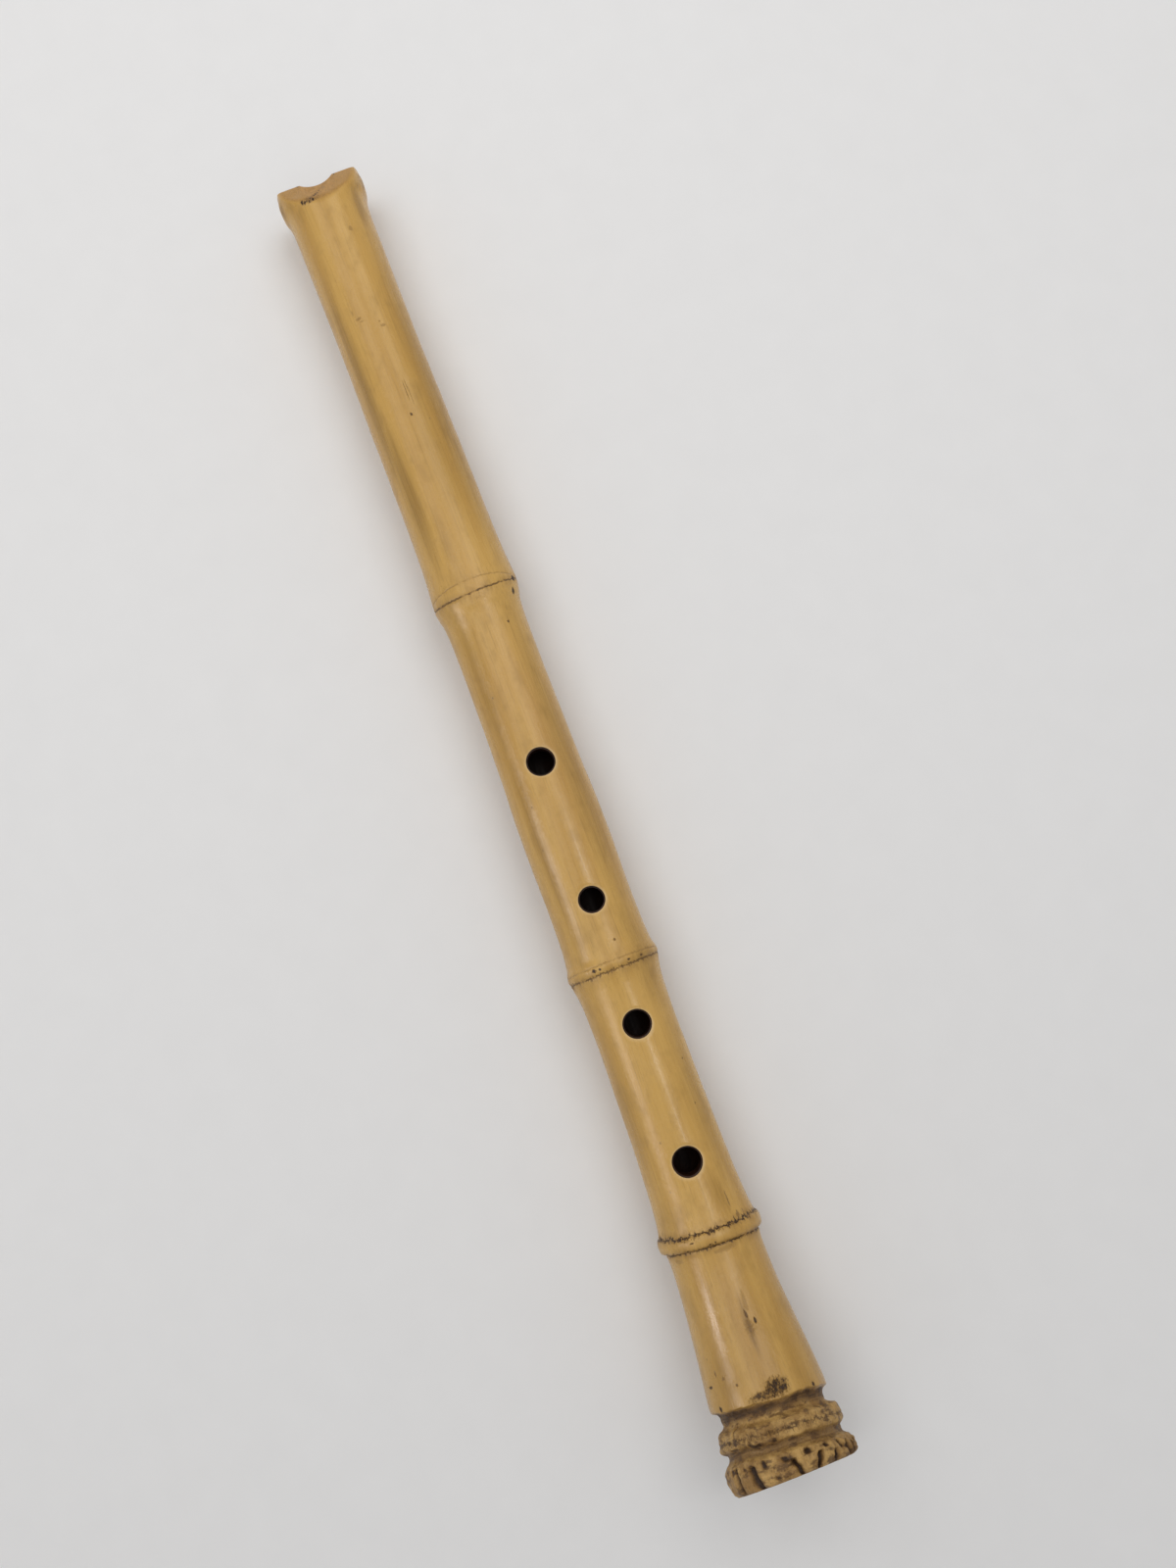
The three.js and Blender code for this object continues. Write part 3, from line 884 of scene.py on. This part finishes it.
def black_lacquer():
    """Natural lacquer, near black, with brush marks along the bore."""
    s = Shading("black_lacquer")
    straight = s.attribute("straight", "Vector")
    brushed = s.noise(straight, (0.03, 0.9, 0.9), 3.0)
    pooled = s.noise(straight, (0.2, 0.2, 0.2), 3.0)
    colour = s.mix(s.remap(pooled, 0.35, 0.7), tone("28140a"), tone("382013"))
    s.bump([(brushed, 0.05), (pooled, 0.10)])
    roughness = s.remap(brushed, 0.3, 0.7, 0.36, 0.50)
    return s.finish(Base_Color=colour, Roughness=roughness, Specular_IOR_Level=0.2)


def pale_horn():
    """Horn close to the bamboo in colour, with faint flow lines."""
    s = Shading("pale_horn")
    straight = s.attribute("straight", "Vector")
    flow = s.noise(straight, (0.10, 0.9, 0.9), 4.0, 0.55, 0.6)
    cloud = s.noise(straight, (0.18, 0.3, 0.3), 3.0)
    colour = s.mix(s.remap(flow, 0.35, 0.7), tone("b88842"), tone("a37735"))
    colour = s.mix(s.remap(cloud, 0.45, 0.75, 0.0, 0.5), colour, tone("946a35"))
    ragged = s.math("MULTIPLY_ADD", s.noise(straight, (0.9, 1.6, 1.6), 4.0, 0.65), 1.6, -0.8)
    marks_here = mark_masks(s, straight, scribble_marks(), ragged)
    colour = s.mix(marks_here, colour, tone("4a3018"))
    s.bump([(flow, 0.04), (cloud, 0.12)])
    roughness = s.remap(cloud, 0.3, 0.7, 0.38, 0.50)
    return s.finish(Base_Color=colour, Roughness=roughness, Specular_IOR_Level=0.38)


def pale_table():
    """A matt white table with the faintest grain."""
    s = Shading("pale_table")
    place = s.new("ShaderNodeTexCoord").outputs["Object"]
    grain = s.noise(place, (60.0, 60.0, 60.0), 4.0)
    colour = s.mix(grain, tone("f0efee"), tone("ecebea"))
    s.bump([(grain, 0.05)])
    return s.finish(Base_Color=colour, Roughness=0.75)


# ---------------------------------------------------------------- pieces

def culm():
    """The bamboo, with its bore, its holes and the seat for the insert."""
    piece = solid_on_rings("bamboo_culm", skin_rings(), skin_radius)
    combine(piece, "DIFFERENCE", bore_solid(LINING_WALL + FIT, OVERRUN))
    for station, diameter, side in HOLES:
        combine(piece, "DIFFERENCE", hole_solid(station, diameter / 2, side))
    combine(piece, "DIFFERENCE", wedge_solid(FIT))
    mark_end_faces(piece)
    soften(piece, 48)
    describe_skin(piece)
    for material in (bamboo_skin(), end_grain()):
        piece.data.materials.append(material)
    return piece


def mark_end_faces(piece):
    """Gives the sawn ends the second material."""
    station = straight_vertices(piece)[:, 0]
    at_end = (station < END_MARGIN) | (station > LENGTH - END_MARGIN)
    for face in piece.data.polygons:
        face.material_index = int(all(at_end[i] for i in face.vertices))


def bore_lining():
    """The lacquered coat of the bore, with a sleeve in each hole."""
    piece = bore_solid(LINING_WALL, 0.0)
    piece.name = "lacquered_bore"
    for station, diameter, side in HOLES:
        sleeve = hole_solid(station, diameter / 2 - FIT, side)
        stations = np.linspace(station - SLEEVE_REACH, station + SLEEVE_REACH, SLEEVE_RINGS)
        under_skin = solid_on_rings("under_skin", [(place, COLUMNS) for place in stations], sleeve_end)
        combine(sleeve, "INTERSECT", under_skin)
        combine(piece, "UNION", sleeve)
    combine(piece, "DIFFERENCE", bore_solid(0.0, OVERRUN))
    for station, diameter, side in HOLES:
        combine(piece, "DIFFERENCE", hole_solid(station, diameter / 2 - COAT_WALL, side))
    combine(piece, "DIFFERENCE", above_facet())
    combine(piece, "DIFFERENCE", wedge_solid(FIT))
    soften(piece, 35)
    store(piece, "straight", "FLOAT_VECTOR", straight_vertices(piece))
    piece.data.materials.append(black_lacquer())
    return piece


def sleeve_end(station, angle):
    """Where the lacquer in a hole ends, just under the skin."""
    return skin_radius(station, angle) - COAT_SETBACK


def above_facet():
    """Everything above the oblique cut at the mouth."""
    reach = 40.0  # along the culm and to each side
    profile = [
        (-OVERRUN, CUT_HEIGHT - OVERRUN * CUT_SLOPE), (reach, CUT_HEIGHT + reach * CUT_SLOPE),
        (-OVERRUN, 2 * CUTTER_TOP),
    ]
    straight = np.array([(s, across, up) for across in (-reach, reach) for s, up in profile], float)
    faces = [(0, 1, 2), (5, 4, 3), (0, 3, 4, 1), (1, 4, 5, 2), (2, 5, 3, 0)]
    return new_piece("above_facet", on_axes_at(0.0, straight), faces)


def blowing_edge_insert():
    """The horn wedge in the front of the rim, flush with the bamboo round it."""
    piece = solid_on_rings("horn_blowing_edge", skin_rings(0.0, INSERT_LENGTH + 6), skin_radius)
    combine(piece, "INTERSECT", wedge_solid(0.0))
    combine(piece, "DIFFERENCE", bore_solid(0.0, OVERRUN))
    soften(piece, 35)
    store(piece, "straight", "FLOAT_VECTOR", straight_vertices(piece))
    piece.data.materials.append(pale_horn())
    return piece


# ---------------------------------------------------------------- studio

def table():
    """A wide floor that the flute lies on."""
    half = 3000.0
    corners = [(-half, -half, 0), (half, -half, 0), (half, half, 0), (-half, half, 0)]
    piece = new_piece("table", corners, [(0, 1, 2, 3)])
    piece.location.z = -TABLE_GAP * MM
    piece.data.materials.append(pale_table())
    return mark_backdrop(piece)


def camera():
    place = Vector(CAMERA) * MM
    forward = (Vector(CAMERA_AIM) * MM - place).normalized()
    right = Vector((math.cos(CAMERA_ROLL), math.sin(CAMERA_ROLL), 0))
    right = (right - forward * right.dot(forward)).normalized()
    up = right.cross(forward)
    data = bpy.data.cameras.new("camera")
    data.sensor_width = 36.0
    data.lens = CAMERA_LENS
    data.clip_start = 0.01
    made = bpy.data.objects.new("camera", data)
    bpy.context.scene.collection.objects.link(made)
    made.matrix_world = Matrix((right, up, -forward)).transposed().to_4x4()
    made.matrix_world.translation = place
    bpy.context.scene.camera = made


def area_light(name, place, aim, size, power, colour, gloss_only=False):
    """A soft rectangular light; place, aim and size in metres. It may light nothing but add gloss."""
    data = bpy.data.lights.new(name, "AREA")
    data.shape = "RECTANGLE"
    data.size, data.size_y = size
    data.energy = power
    data.color = colour
    made = bpy.data.objects.new(name, data)
    bpy.context.scene.collection.objects.link(made)
    made.location = place
    made.rotation_euler = (Vector(aim) - Vector(place)).to_track_quat("-Z", "Y").to_euler()
    made.visible_diffuse = not gloss_only


def lights():
    """Two ceiling lights over soft daylight; the thin strip, low window and lamp only add gloss."""
    white = (1.0, 0.995, 0.99)
    for name, away in (("ceiling_right", 0.56), ("ceiling_left", -0.44)):
        area_light(name, (-0.70, away, 1.30), (-0.70, 0.0, 0.0), (1.6, 0.85), 6.2, white)
    gloss_lights = (
        ("strip", (0.175, 0.53, 1.45), (0.175, 0.0, 0.0), (0.65, 0.04), 2.0, (1.0, 0.98, 0.95)),
        ("window", (0.36, -1.05, 0.80), (0.36, 0.0, 0.03), (0.40, 0.42), 1.9, (1.0, 0.86, 0.82)),
        ("lamp", (-0.04, -1.05, 0.62), (-0.04, 0.0, 0.03), (0.32, 0.30), 2.9, (1.0, 0.90, 0.86)),
    )
    for light in gloss_lights:
        area_light(*light, gloss_only=True)
    world = bpy.data.worlds.new("studio")
    world.use_nodes = True
    background = world.node_tree.nodes["Background"]
    background.inputs["Color"].default_value = (0.985, 0.99, 1.0, 1.0)
    background.inputs["Strength"].default_value = 0.45
    bpy.context.scene.world = world
    bpy.context.scene.view_settings.view_transform = "Standard"


for made, node, finish in (
    (culm(), "culm", "bamboo"),
    (bore_lining(), "bore_lining", "lacquer"),
    (blowing_edge_insert(), "blowing_edge_insert", "horn"),
):
    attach(made, "root")
    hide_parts(node)
table()
camera()
lights()

bpy.context.view_layer.update()
